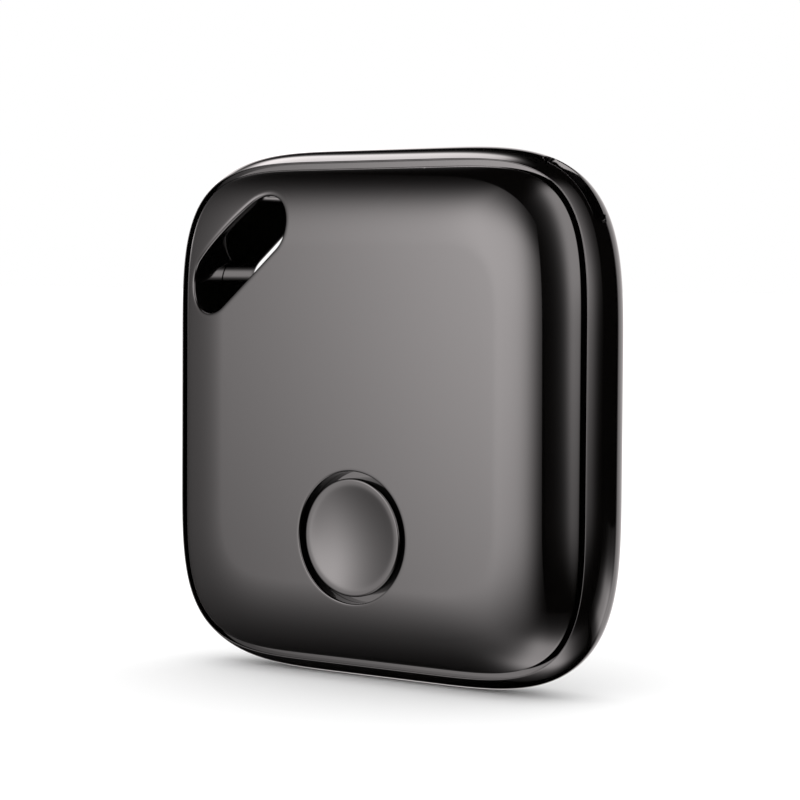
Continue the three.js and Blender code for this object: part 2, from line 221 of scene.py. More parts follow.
def outlineLength(table):
    ring = ringPoints(table, casing["seamInset"], casing["seamReach"])
    return np.concatenate([[0], np.cumsum(np.linalg.norm(np.diff(ring, axis=0), axis=1))])


def pickColumns(table, positions):
    # the table's values at the given lengths round the outline
    length = outlineLength(table)
    return np.stack([np.interp(positions, length, row) for row in table])


def seamReach(inset):
    return casing["seamReach"] + casing["seamInset"] - inset


def casingReach(inset):
    return casing["casingReach"] - inset


def insetOf(x, z, reachRule):
    # The inset whose outline passes through a point, found by halving: a point is inside an outline where
    # (dx / reach)^p + (dz / reach)^p < 1, with dx, dz measured from the corner's centre.
    low = np.full_like(x, -1.0)
    high = np.full_like(x, 11.5)
    for _ in range(34):
        middle = (low + high) / 2
        reach = reachRule(middle)
        core = casing["half"] - middle - reach
        dx = np.maximum(np.abs(x) - core, 0) / reach
        dz = np.maximum(np.abs(z) - core, 0) / reach
        inside = dx ** casing["cornerPower"] + dz ** casing["cornerPower"] < 1
        low = np.where(inside, middle, low)
        high = np.where(inside, high, middle)
    return low


def faceProfile(inset):
    # The face is flat, then falls away as a quarter of an ellipse: y = front + b(1 - sqrt(1 - (1 - inset / a)^2)),
    # with b chosen so that it meets the seam.
    a = casing["faceReach"]
    atSeam = 1 - math.sqrt(1 - (1 - casing["seamInset"] / a) ** 2)
    b = casing["seamDepth"] / atSeam
    part = np.clip(1 - inset / a, 0, 1)
    return casing["frontY"] + b * (1 - np.sqrt(1 - part ** 2))


def backProfile(inset):
    # quarter circle of the rear radius that ends on the flat back
    r = casing["rearRadius"]
    part = np.clip(1 - inset / r, 0, 1)
    return casing["backY"] - r + r * np.sqrt(1 - part ** 2)


# Holes

def holeRing(hole, halfRun, radius, turn, toward):
    # Where rays from the hole's middle towards given points cross its edge, a stadium of two straight sides and two
    # half circles: t = radius / |q| on a side, t = p L + sqrt(radius^2 - q^2 L^2) on an end.
    axis = np.array([math.cos(turn), math.sin(turn)])
    across = np.array([-axis[1], axis[0]])
    ray = toward - hole
    ray = ray / np.linalg.norm(ray, axis=1, keepdims=True)
    p, q = ray @ axis, ray @ across
    straight = radius / np.maximum(np.abs(q), 1e-9)
    onSide = straight * np.abs(p) <= halfRun
    onEnd = np.abs(p) * halfRun + np.sqrt(np.maximum(radius ** 2 - (q * halfRun) ** 2, 0))
    reach = np.where(onSide, straight, onEnd)
    ring = hole + ray * reach[:, None]
    local = np.stack([reach * p - np.sign(p) * halfRun, reach * q], axis=1) / radius
    local = np.where(onSide[:, None], np.stack([0 * q, np.sign(q)], axis=1), local)
    normal = local[:, :1] * axis + local[:, 1:] * across
    return ring, normal


def slotDistance(x, z):
    # distance of a point from the slot's edge, positive outside
    axis = np.array([math.cos(slot["turn"]), math.sin(slot["turn"])])
    dx, dz = x - slot["middle"][0], z - slot["middle"][1]
    along = np.clip(dx * axis[0] + dz * axis[1], -slot["halfRun"], slot["halfRun"])
    return np.hypot(dx - along * axis[0], dz - along * axis[1]) - slot["radius"]


def sheetRows(ring, normal, outer, offsets, insets, middleRows, reachRule):
    # Rows of a sheet between a hole's edge and an outer line: first offsets square to the edge, then rows on
    # straight rays, evenly at first and then wherever the ray crosses each of the given insets.
    base = ring + normal * offsets[-1][:, None]
    ray = outer - base
    count = len(insets)
    share = np.zeros((count, len(outer)))
    for row, inset in enumerate(insets):
        low, high = np.zeros(len(outer)), np.ones(len(outer))
        for _ in range(24):
            middle = (low + high) / 2
            place = base + ray * middle[:, None]
            short = insetOf(place[:, 0], place[:, 1], reachRule) > inset
            low, high = np.where(short, middle, low), np.where(short, high, middle)
        share[row] = high
    step = 0.0015
    order = np.arange(1, count + 1)[:, None]
    share = np.clip(share, step * (order + middleRows), 1 - step * (count + 1 - order))
    even = np.linspace(0, 1, middleRows + 1)[1:-1, None] * share[:1]
    last = np.ones((1, len(outer)))
    share = np.concatenate([even, share, last])
    near = ring[None] + normal[None] * np.stack(offsets)[:, :, None]
    far = base[None] + ray[None] * share[:, :, None]
    return np.concatenate([near, far])


def lift(flat, y):
    # a sheet in x and z, given its y
    return np.stack([flat[..., 0], np.broadcast_to(y, flat.shape[:-1]), flat[..., 1]], axis=-1)


def wallRows(ring, fromY, toY, rows):
    # a straight wall along Y between two edges over the same ring
    share = np.linspace(0, 1, rows)[:, None]
    y = fromY[None] * (1 - share) + toY[None] * share
    return lift(np.broadcast_to(ring, (rows, *ring.shape)), y)


def rimOffsets(rim, extra, columns, steps=6):
    # a quarter circle over the hole's edge: out = rim(1 - cos), drop = rim(1 - sin)
    turn = np.linspace(0, math.pi / 2, steps)
    out = np.concatenate([rim * (1 - np.cos(turn)), extra])
    drop = np.concatenate([rim * (1 - np.sin(turn)), 0 * np.array(extra)])
    return [np.full(columns, d) for d in out], drop


def sweepRings(table, profile, reaches):
    # an (inset, y) profile carried round the outline, each step with its own corner reach
    rings = [lift(ringPoints(table, inset, reach), y) for (inset, y), reach in zip(profile, reaches)]
    return np.stack(rings)


# The two shells

shellInside = {
    "splitMargin": 3.2,
    "tongueInset": 2.5,
    "tongueY": -0.3,
    "ledgeY": 0.4,
    "rimInset": 2.4,
    "footInset": 3.3,           # the rounded foot of the wall starts here
    "clearance": 0.06,          # the sleeve stops short of the tongue and the rim
    "sleeveTop": slot["seamY"],
    "sleeveBottom": slot["seamY"] + slot["seamGap"],
    "sleeveSteps": np.array([0, 0.5, 0.97, 1.03, 1.3]) * slot["sleeve"],
}


def roomFor(ring, normal, most, inset):
    # how far each point may step outwards before it reaches an inset
    low, high = np.zeros(len(ring)), np.full(len(ring), most)
    for _ in range(24):
        middle = (low + high) / 2
        place = ring + normal * middle[:, None]
        inside = insetOf(place[:, 0], place[:, 1], seamReach) > inset
        low, high = np.where(inside, middle, low), np.where(inside, high, middle)
    return low


def frontShellSheets():
    table = outlineTable()
    length = outlineLength(table)
    across = np.array([-math.sin(slot["turn"]), math.cos(slot["turn"])])
    # a straight line beside the slot parts the face into a piece round each hole
    split = across @ slot["middle"] - slot["radius"] - shellInside["splitMargin"]
    side = ringPoints(table, casing["seamInset"], casing["seamReach"]) @ across - split
    cross = np.nonzero(side[:-1] * side[1:] < 0)[0]
    ends = length[cross] + (length[cross + 1] - length[cross]) * side[cross] / (side[cross] - side[cross + 1])
    total = length[-1]
    slotArc = pickColumns(table, np.linspace(ends[0], ends[1], 130))
    restArc = pickColumns(table, np.linspace(ends[1], ends[0] + total, 430) % total)
    whole = np.concatenate([slotArc[:, :-1], restArc[:, :-1]], axis=1)
    share = np.linspace(0, 1, 112)[1:-1, None]
    edgeInset = casing["seamInset"] + 0.03

    def border(arc, inset):
        ring = ringPoints(arc, inset, seamReach(inset))
        return np.concatenate([ring, ring[-1] + (ring[0] - ring[-1]) * share])

    sheets = []
    holes = (
        (slot["middle"], slot["halfRun"], slot["radius"], slot["rim"], slotArc),
        (button["middle"], 0.0, button["holeRadius"], button["holeRim"], restArc),
    )
    for middle, halfRun, radius, rim, arc in holes:
        outer = border(arc, edgeInset)
        ring, normal = holeRing(middle, halfRun, radius, slot["turn"], outer)
        offsets, drop = rimOffsets(rim, [rim + 0.15, rim + 0.35], len(outer))
        insets = np.linspace(casing["faceReach"], edgeInset + 0.1, 30)
        flat = sheetRows(ring, normal, outer, offsets, insets, 8, seamReach)
        y = faceProfile(insetOf(flat[..., 0], flat[..., 1], seamReach))
        y[:len(drop)] += drop[:, None]
        inner = border(arc, shellInside["tongueInset"])
        steps = shellInside["sleeveSteps"]
        room = roomFor(ring, normal, steps[-1], shellInside["tongueInset"] + shellInside["clearance"])
        offsetsIn = [room * step / steps[-1] for step in steps]
        flatIn = sheetRows(ring, normal, inner, offsetsIn, [5.0, 4.1, 3.5, 3.32, 3.28], 6, seamReach)
        yIn = frontInside(flatIn)
        yIn[-1] = shellInside["tongueY"]
        sheets += [(lift(flat, y), True), (lift(flatIn, yIn), True), (wallRows(ring, y[0], yIn[0], 8), True)]

    # the thin edge at the seam, the ledge behind it and the tongue that enters the rear shell
    a = casing["faceReach"]
    b = casing["seamDepth"] / (1 - math.sqrt(1 - (1 - casing["seamInset"] / a) ** 2))
    lean = math.asin(1 - edgeInset / a)
    start = math.atan2(b * math.sin(lean), a * math.cos(lean))
    r = casing["edgeRadius"]
    turn = np.linspace(start, math.pi, 9)
    inset = edgeInset + r * math.sin(start) - r * np.sin(turn)
    y = faceProfile(edgeInset) + r * math.cos(start) - r * np.cos(turn)
    tongue = shellInside["tongueInset"]
    profile = list(zip(inset, y)) + [(tongue, y[-1]), (tongue, shellInside["tongueY"])]
    sheets.append((sweepRings(whole, profile, [seamReach(i) for i, _ in profile]), True))
    return sheets


def frontInside(flat):
    # the front shell's inner face: a flat ceiling, a rounded foot, the wall, and the sleeve round the slot
    inset = insetOf(flat[..., 0], flat[..., 1], seamReach)
    y = np.interp(inset, [shellInside["footInset"], 3.4, 4.1, 5.0], [-1.5, -1.9, -2.65, -3.0])
    y = np.where(inset < shellInside["footInset"], shellInside["tongueY"], y)
    inSleeve = slotDistance(flat[..., 0], flat[..., 1]) < slot["sleeve"]
    return np.where(inSleeve, shellInside["sleeveTop"], y)


def rearInside(flat):
    # the rear shell's inner face: a flat floor, a rounded foot, the ledge, the sleeve and the groove's floor
    inset = insetOf(flat[..., 0], flat[..., 1], seamReach)
    y = np.interp(inset, [shellInside["footInset"], 3.4, 3.9], [2.55, 2.8, 3.05])
    y = np.where(inset < shellInside["footInset"], shellInside["ledgeY"], y)
    inSleeve = slotDistance(flat[..., 0], flat[..., 1]) < slot["sleeve"]
    y = np.where(inSleeve, shellInside["sleeveBottom"], y)
    return np.where(inset < shellInside["rimInset"], grooveY(), y)


def lipProfile():
    # Groove floor and wall, a small arc over the lip's edge, then a quadratic curve that leaves the arc along the
    # lip's lean and reaches the widest place square on: (1 - t)^2 start + 2 t (1 - t) corner + t^2 end.
    wall, crest, lean = casing["lipWall"], casing["lipCrest"], casing["lipLean"]
    edgeY = casing["frontY"] + casing["seamDepth"] + casing["lipSet"]
    groove = grooveY()
    turn = np.linspace(0, math.pi / 2 + lean, 8)[:-1]
    inset = [casing["seamInset"], wall + 0.1, wall, wall, *(wall - crest + crest * np.cos(turn))]
    y = [groove, groove, groove, (groove + edgeY) / 2, *(edgeY + crest - crest * np.sin(turn))]
    start = (wall - crest - crest * math.sin(lean), edgeY + crest - crest * math.cos(lean))
    cornerY = start[1] + start[0] * math.tan(lean)
    endY = casing["backY"] - casing["rearRadius"]
    t = np.linspace(0, 1, 36)
    inset = np.concatenate([inset, (1 - t) ** 2 * start[0]])
    y = np.concatenate([y, (1 - t) ** 2 * start[1] + 2 * t * (1 - t) * cornerY + t ** 2 * endY])
    return inset, y


def grooveY():
    return casing["frontY"] + casing["seamDepth"] + casing["lipSet"] + casing["grooveDepth"]


def notchDepth(around, y, first, last):
    # depth x smooth step of the signed distance to a rounded slot drawn round the corner
    middle, halfRun = (first + last) / 2, (last - first) / 2
    halfHeight = notch["height"] / 2
    corner = halfHeight * 0.9
    u = np.abs(around[None] - middle) - (halfRun - corner)
    v = np.abs(y[:, None] - notch["middleY"]) - (halfHeight - corner)
    outside = np.hypot(np.maximum(u, 0), np.maximum(v, 0))
    distance = outside + np.minimum(np.maximum(u, v), 0) - corner
    part = np.clip(0.5 - distance / (2 * notch["edge"]), 0, 1)
    return notch["depth"] * part * part * (3 - 2 * part)


def rearShellSheets():
    table = outlineTable()
    length = outlineLength(table)
    total = length[-1]
    first, last = (np.interp(notch[end], table[4], length) for end in ("from", "to"))
    # grid lines crowd at the two ends of the pry notch
    dense = np.linspace(0, total, 4000)
    weight = 1 + sum(4 * np.exp(-((dense - end) / 0.7) ** 2) for end in (first + 0.3, last - 0.3))
    spread = np.concatenate([[0], np.cumsum((weight[1:] + weight[:-1]) / 2)])
    around = np.interp(np.linspace(0, spread[-1], casing["columns"] + 1)[:-1], spread, dense)
    columns = pickColumns(table, around)

    backEdge = 1.2
    outer = ringPoints(columns, backEdge, casingReach(backEdge))
    ring, normal = holeRing(slot["middle"], slot["halfRun"], slot["radius"], slot["turn"], outer)
    offsets, drop = rimOffsets(slot["rim"], [slot["rim"] + 0.15, slot["rim"] + 0.35], len(outer))
    insets = np.linspace(casing["rearRadius"], backEdge + 0.15, 18)
    flat = sheetRows(ring, normal, outer, offsets, insets, 10, casingReach)
    y = backProfile(insetOf(flat[..., 0], flat[..., 1], casingReach))
    y[:len(drop)] -= drop[:, None]

    inner = ringPoints(columns, casing["seamInset"], casing["seamReach"])
    steps = shellInside["sleeveSteps"]
    room = roomFor(ring, normal, steps[-1], shellInside["rimInset"] + shellInside["clearance"])
    offsetsIn = [room * step / steps[-1] for step in steps]
    flatIn = sheetRows(ring, normal, inner, offsetsIn, [3.9, 3.4, 3.32, 3.28, 2.43, 2.37], 8, seamReach)
    yIn = rearInside(flatIn)
    yIn[-1] = grooveY()

    lipInset, lip = lipProfile()
    endTurn = math.acos(1 - backEdge / casing["rearRadius"])
    turn = np.concatenate([np.linspace(0, 0.24, 13)[1:], np.linspace(0.24, endTurn, 14)[1:]])
    rearInset = casing["rearRadius"] * (1 - np.cos(turn))
    rear = lip[-1] + casing["rearRadius"] * np.sin(turn)
    inset = np.concatenate([lipInset, rearInset])
    sweepY = np.concatenate([lip, rear])
    loss = casing["casingReach"] - casing["seamReach"]
    lipReach = casing["casingReach"] - loss * lipInset / casing["seamInset"]
    reach = np.concatenate([lipReach, casingReach(rearInset)])
    cut = notchDepth(around, sweepY, first, last)
    core = (casing["half"] - inset - reach)[:, None]
    x = columns[0] * core + columns[1] * (reach[:, None] - cut)
    z = columns[2] * core + columns[3] * (reach[:, None] - cut)
    rim = np.stack([x, np.broadcast_to(sweepY[:, None], x.shape), z], axis=-1)
    return [
        (lift(flat, y), True),
        (lift(flatIn, yIn), True),
        (wallRows(ring, y[0], yIn[0], 10), True),
        (rim, True),
    ]


# Round pieces

def turnedSheet(profile, middle, columns=192):
    # a [radius, y] profile turned about an axis along Y through the given x and z
    profile = np.array(profile)
    turn = np.linspace(0, 2 * math.pi, columns, endpoint=False)
    radius, y = profile[:, :1], profile[:, 1:]
    x = middle[0] + radius * np.cos(turn)
    z = middle[1] + radius * np.sin(turn)
    return np.stack([x, np.broadcast_to(y, x.shape), z], axis=-1), True


def roundedCorner(corner, radius, fromTurn, toTurn, steps=7):
    # points on an arc: centre + radius (cos, sin), in the plane of radius and y
    turn = np.radians(np.linspace(fromTurn, toTurn, steps))
    return list(zip(corner[0] + radius * np.cos(turn), corner[1] + radius * np.sin(turn)))


def buttonSheets():
    # The dish is y = face + depth(1 - (r / R)^2), kept above the rim by a smooth maximum:
    # w = (h + sqrt(h^2 + k^2) - k) / 2.
    face, edge, outer = button["faceY"], button["capEdge"], button["capRadius"]
    flangeY = button["backY"] - button["flange"]
    profile = [(0, button["backY"]), (button["flangeRadius"], button["backY"]), (button["flangeRadius"], flangeY),
               (outer, flangeY), (outer, (flangeY + face) / 2)]
    profile += roundedCorner((outer - edge, face + edge), edge, 0, -90)
    radius = np.concatenate([np.linspace(outer - edge - 0.02, button["dishRadius"] + 0.2, 4),
                             np.linspace(button["dishRadius"] + 0.16, button["dishRadius"] - 0.3, 16),
                             np.linspace(button["dishRadius"] - 0.36, 0, 30)])
    dish = button["dishDepth"] * (1 - (radius / button["dishRadius"]) ** 2)
    k = button["dishBlend"]
    sink = (dish + np.sqrt(dish ** 2 + k ** 2)) / 2
    sink -= sink[0]
    profile += list(zip(radius, face + sink))
    return [turnedSheet(profile, button["middle"])]


# Materials

def newMaterial(name):
    material = bpy.data.materials.new(name)
    material.use_nodes = True
    tree = material.node_tree
    shader = tree.nodes["Principled BSDF"]
    return material, tree, shader


def addNode(tree, kind, **values):
    node = tree.nodes.new(kind)
    for key, value in values.items():
        if hasattr(node, key):
            setattr(node, key, value)
        else:
            node.inputs[key.replace("_", " ")].default_value = value
    return node


def newGroup(name, inputs, outputs):
    group = bpy.data.node_groups.new(name, "ShaderNodeTree")
    for label, kind, value in inputs:
        socket = group.interface.new_socket(label, in_out="INPUT", socket_type=kind)
        if value is not None:
            socket.default_value = value
    for label, kind in outputs:
        group.interface.new_socket(label, in_out="OUTPUT", socket_type=kind)
    return group, group.nodes.new("NodeGroupInput"), group.nodes.new("NodeGroupOutput")


def handlingGroup():
    # broad smudges and fine hairlines, as a roughness between two values and a tint between 0 and 1
    group, source, result = newGroup(
        "handling",
        [("Vector", "NodeSocketVector", None), ("Scale", "NodeSocketFloat", 1.0),
         ("Low", "NodeSocketFloat", 0.03), ("High", "NodeSocketFloat", 0.08)],
        [("Roughness", "NodeSocketFloat"), ("Tint", "NodeSocketFloat")])
    link = group.links.new
    scaled = addNode(group, "ShaderNodeVectorMath", operation="SCALE")
    link(source.outputs["Vector"], scaled.inputs[0])
    link(source.outputs["Scale"], scaled.inputs["Scale"])
    smudge = addNode(group, "ShaderNodeTexNoise", Scale=0.22, Detail=4.0, Roughness=0.55)
    link(scaled.outputs[0], smudge.inputs["Vector"])
    stretch = addNode(group, "ShaderNodeMapping")
    stretch.inputs["Scale"].default_value = (0.35, 1.0, 9.0)
    stretch.inputs["Rotation"].default_value = (0.0, math.radians(35), 0.0)
    link(scaled.outputs[0], stretch.inputs["Vector"])
    hair = addNode(group, "ShaderNodeTexNoise", Scale=1.2, Detail=6.0, Roughness=0.7)
    link(stretch.outputs[0], hair.inputs["Vector"])
    both = addNode(group, "ShaderNodeMix", data_type="FLOAT")
    both.inputs[0].default_value = 0.35
    link(smudge.outputs[0], both.inputs[2])
    link(hair.outputs[0], both.inputs[3])
    spread = addNode(group, "ShaderNodeMapRange")
    spread.inputs["From Min"].default_value = 0.35
    spread.inputs["From Max"].default_value = 0.68
    link(both.outputs[0], spread.inputs["Value"])
    link(source.outputs["Low"], spread.inputs["To Min"])
    link(source.outputs["High"], spread.inputs["To Max"])
    link(spread.outputs[0], result.inputs["Roughness"])
    link(smudge.outputs[0], result.inputs["Tint"])
    return group


def grainGroup():
    # fine moulded or cast grain as a height between 0 and 1
    group, source, result = newGroup(
        "grain", [("Vector", "NodeSocketVector", None), ("Scale", "NodeSocketFloat", 8.0)],
        [("Height", "NodeSocketFloat")])
    link = group.links.new
    noise = addNode(group, "ShaderNodeTexNoise", Detail=3.0, Roughness=0.6)
    pits = addNode(group, "ShaderNodeTexVoronoi", feature="SMOOTH_F1")
    for texture in (noise, pits):
        link(source.outputs["Vector"], texture.inputs["Vector"])
        link(source.outputs["Scale"], texture.inputs["Scale"])
    both = addNode(group, "ShaderNodeMath", operation="MULTIPLY")
    link(noise.outputs[0], both.inputs[0])
    link(pits.outputs["Distance"], both.inputs[1])
    link(both.outputs[0], result.inputs["Height"])
    return group


handling = handlingGroup()
grain = grainGroup()


def millimetreCoordinates(tree):
    place = addNode(tree, "ShaderNodeTexCoord")
    scale = addNode(tree, "ShaderNodeVectorMath", operation="SCALE")
    scale.inputs["Scale"].default_value = 1 / mm
    tree.links.new(place.outputs["Object"], scale.inputs[0])
    return scale.outputs[0]


def addHandling(tree, shader, place, scale, low, high):
    node = addNode(tree, "ShaderNodeGroup", node_tree=handling)
    node.inputs["Scale"].default_value = scale
    node.inputs["Low"].default_value = low
    node.inputs["High"].default_value = high
    tree.links.new(place, node.inputs["Vector"])
    tree.links.new(node.outputs["Roughness"], shader.inputs["Roughness"])
    return node


def addTint(tree, shader, factor, dark, light):
    mix = addNode(tree, "ShaderNodeMix", data_type="RGBA")
    mix.inputs[6].default_value = (*dark, 1)
    mix.inputs[7].default_value = (*light, 1)
    tree.links.new(factor, mix.inputs[0])
    tree.links.new(mix.outputs[2], shader.inputs["Base Color"])


def addGrain(tree, shader, place, scale, depth):
    node = addNode(tree, "ShaderNodeGroup", node_tree=grain)
    node.inputs["Scale"].default_value = scale
    tree.links.new(place, node.inputs["Vector"])
    bump = addNode(tree, "ShaderNodeBump", Strength=1.0, Distance=depth * mm)
    tree.links.new(node.outputs["Height"], bump.inputs["Height"])
    tree.links.new(bump.outputs[0], shader.inputs["Normal"])


def simpleFinish(name, look):
    # a moulded, cast or rolled finish: tint and roughness vary with handling, and the grain is a fine bump
    material, tree, shader = newMaterial(name)
    place = millimetreCoordinates(tree)
    marks = addHandling(tree, shader, place, look["scale"], *look["roughness"])
    addTint(tree, shader, marks.outputs["Tint"], look["dark"], look["light"])
    if look["grainDepth"]:
        addGrain(tree, shader, place, look["grain"], look["grainDepth"])
    shader.inputs["Metallic"].default_value = look.get("metal", 0.0)
    shader.inputs["IOR"].default_value = look.get("ior", 1.5)
    shader.inputs["Anisotropic"].default_value = look.get("brushed", 0.0)
    return material


looks = {
    "gloss_black": {"dark": (0.0008, 0.0007, 0.0007), "light": (0.0019, 0.0016, 0.0015), "roughness": (0.03, 0.06),
                    "scale": 1.0, "grain": 1.0, "grainDepth": 0.0},
    "satin_black": {"dark": (0.008, 0.008, 0.009), "light": (0.016, 0.016, 0.017), "roughness": (0.38, 0.55),
                    "scale": 1.0, "grain": 9.0, "grainDepth": 0.02},
    "seal_rubber": {"dark": (0.01, 0.01, 0.01), "light": (0.02, 0.02, 0.019), "roughness": (0.6, 0.8),
                    "scale": 1.0, "grain": 6.0, "grainDepth": 0.02},
    "chip_black": {"dark": (0.012, 0.012, 0.013), "light": (0.024, 0.024, 0.026), "roughness": (0.45, 0.65),
                   "scale": 3.0, "grain": 18.0, "grainDepth": 0.008},
    "part_ceramic": {"dark": (0.30, 0.20, 0.11), "light": (0.42, 0.30, 0.17), "roughness": (0.4, 0.6),
                     "scale": 2.0, "grain": 14.0, "grainDepth": 0.008},
    "white_ceramic": {"dark": (0.62, 0.60, 0.54), "light": (0.74, 0.72, 0.66), "roughness": (0.35, 0.5),
                      "scale": 1.0, "grain": 10.0, "grainDepth": 0.008},
    "steel": {"dark": (0.50, 0.50, 0.51), "light": (0.62, 0.62, 0.62), "roughness": (0.16, 0.34),
              "scale": 1.0, "grain": 7.0, "grainDepth": 0.004, "metal": 1.0, "brushed": 0.4},
    "brass": {"dark": (0.62, 0.42, 0.13), "light": (0.76, 0.55, 0.20), "roughness": (0.18, 0.32),
              "scale": 1.0, "grain": 7.0, "grainDepth": 0.004, "metal": 1.0},
    "tape": {"dark": (0.32, 0.26, 0.16), "light": (0.42, 0.34, 0.22), "roughness": (0.7, 0.9),
             "scale": 1.0, "grain": 5.0, "grainDepth": 0.02},
}


def boardFinish():
    # green mask over copper: runs of track as a distorted brick grid, a little lighter and higher than the rest
    material, tree, shader = newMaterial("boardMask")
    link = tree.links.new
    place = millimetreCoordinates(tree)
    flat = addNode(tree, "ShaderNodeMapping")
    flat.inputs["Rotation"].default_value = (math.radians(90), 0, 0)
    link(place, flat.inputs["Vector"])
    tracks = addNode(tree, "ShaderNodeTexBrick", offset=0.37, squash=0.6, squash_frequency=3)
    tracks.inputs["Scale"].default_value = 1.0
    tracks.inputs["Mortar Size"].default_value = 0.09
    tracks.inputs["Mortar Smooth"].default_value = 0.2
    tracks.inputs["Brick Width"].default_value = 1.9
    tracks.inputs["Row Height"].default_value = 0.62
    link(flat.outputs[0], tracks.inputs["Vector"])
    addHandling(tree, shader, place, 1.0, 0.25, 0.4)
    addTint(tree, shader, tracks.outputs["Fac"], (0.006, 0.050, 0.020), (0.016, 0.110, 0.042))
    bump = addNode(tree, "ShaderNodeBump", Strength=1.0, Distance=0.02 * mm)
    link(tracks.outputs["Fac"], bump.inputs["Height"])
    link(bump.outputs[0], shader.inputs["Normal"])
    shader.inputs["Coat Weight"].default_value = 0.4
    shader.inputs["Coat Roughness"].default_value = 0.15
    return material


materials = {name: simpleFinish(name, look) for name, look in looks.items()}
materials["board_green"] = boardFinish()
print("materials made")

addPiece("front_case", frontShellSheets(), "case", materials["gloss_black"], ["front_shell"])
print("front shell made")
addPiece("rear_case", rearShellSheets(), "rear_cover", materials["gloss_black"], ["rear_shell"])
print("rear shell made")
addPiece("button_dished", buttonSheets(), "button", materials["gloss_black"], ["button_cap"])
print("button made")


# The pieces inside keep their CAD shape and get rounded edges

bevels = {
    "main_board": 0.04, "cell_carrier": 0.12, "case_seal": 0.08, "bluetooth_chip": 0.06, "chip_antenna": 0.06,
}
shells = ("front_shell", "rear_shell", "button_cap")


def refine(node, body, slotName):
    work = bmesh.new()
    work.from_mesh(frame["nodes"][node].data)
    bmesh.ops.remove_doubles(work, verts=work.verts, dist=0.0005 * mm)
    flat = math.radians(1)
    bmesh.ops.dissolve_limit(work, angle_limit=flat, verts=work.verts, edges=work.edges)
    sharp = [edge for edge in work.edges if edge.is_manifold and edge.calc_face_angle() > math.radians(35)]
    width = bevels.get(node, 0.03) * mm
    bmesh.ops.bevel(work, geom=sharp, offset=width, segments=2, profile=0.5, affect="EDGES", clamp_overlap=True)
    bmesh.ops.triangulate(work, faces=[face for face in work.faces if len(face.verts) > 4])
    bmesh.ops.recalc_face_normals(work, faces=work.faces)
    mesh = bpy.data.meshes.new(node + "_fine")
    work.to_mesh(mesh)
    work.free()
    mesh.shade_smooth()
    mesh.set_sharp_from_angle(angle=math.radians(30))
    return placePiece(node + "_fine", mesh, body, materials[slotName], [node])


record = frame["record"]
slotOf = {part["node"]: part["material_slot"] for part in record["subparts"]}
for body, members in record["behaviour"]["bodies"].items():
    for node in members:
        if node in shells:
            continue
        piece = refine(node, body, slotOf[node])
        if node == "switch_dome":
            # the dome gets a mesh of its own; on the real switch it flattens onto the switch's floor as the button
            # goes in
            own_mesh(piece)
print("inner pieces made")


# Camera, floor and light

camera = {
    "azimuth": 36.82, "elevation": 2.76, "roll": 0.35, "distance": 183.67, "lens": 115.4,
    "aside": 1.02, "above": 1.05,
}


def outward(aim):
    # the direction from the tag towards an azimuth and elevation; azimuth 0 looks along Y
    azimuth, elevation = math.radians(aim["azimuth"]), math.radians(aim["elevation"])
    level = math.cos(elevation)
    return Vector((math.sin(azimuth) * level, -math.cos(azimuth) * level, math.sin(elevation)))


def addCamera():
    back = outward(camera)
    right = Vector((0, 0, 1)).cross(back).normalized()
    up = back.cross(right)
    roll = math.radians(camera["roll"])
    turnedRight = right * math.cos(roll) + up * math.sin(roll)
    turnedUp = up * math.cos(roll) - right * math.sin(roll)
    place = back * camera["distance"] + turnedRight * camera["aside"] + turnedUp * camera["above"]
    data = bpy.data.cameras.new("camera")
    data.lens = camera["lens"]
    data.sensor_width = 36
    data.clip_start = 0.01
    data.clip_end = 20
    item = bpy.data.objects.new("camera", data)
    axes = Matrix((turnedRight, turnedUp, back)).transposed().to_4x4()
    item.matrix_world = Matrix.Translation(place * mm) @ axes
    bpy.context.scene.collection.objects.link(item)
    bpy.context.scene.camera = item


addCamera()

floor = {"half": 4.0, "gap": 0.02, "pale": 0.86}  # half in metres, gap in millimetres


def addPlane(name, middle, axisU, axisV, halfU, halfV):
    # a flat four-sided sheet, in metres, that faces along axisU x axisV
    mesh = bpy.data.meshes.new(name)
    corners = [middle + axisU * halfU * u + axisV * halfV * v for u, v in ((-1, -1), (1, -1), (1, 1), (-1, 1))]
    mesh.from_pydata([tuple(c) for c in corners], [], [(0, 1, 2, 3)])
    item = bpy.data.objects.new(name, mesh)
    bpy.context.scene.collection.objects.link(item)
    return item


def addFloor():
    height = (caseLow[2] - floor["gap"]) * mm
    half = floor["half"]
    plane = addPlane("floor", Vector((0, 0, height)), Vector((1, 0, 0)), Vector((0, 1, 0)), half, half)
    material, _, shader = newMaterial("paleFloor")
    pale = floor["pale"]
    shader.inputs["Base Color"].default_value = (pale, pale, pale, 1)
    shader.inputs["Roughness"].default_value = 0.9
    shader.inputs["Specular IOR Level"].default_value = 0.0
    plane.data.materials.append(material)
    plane.visible_glossy = False


addFloor()

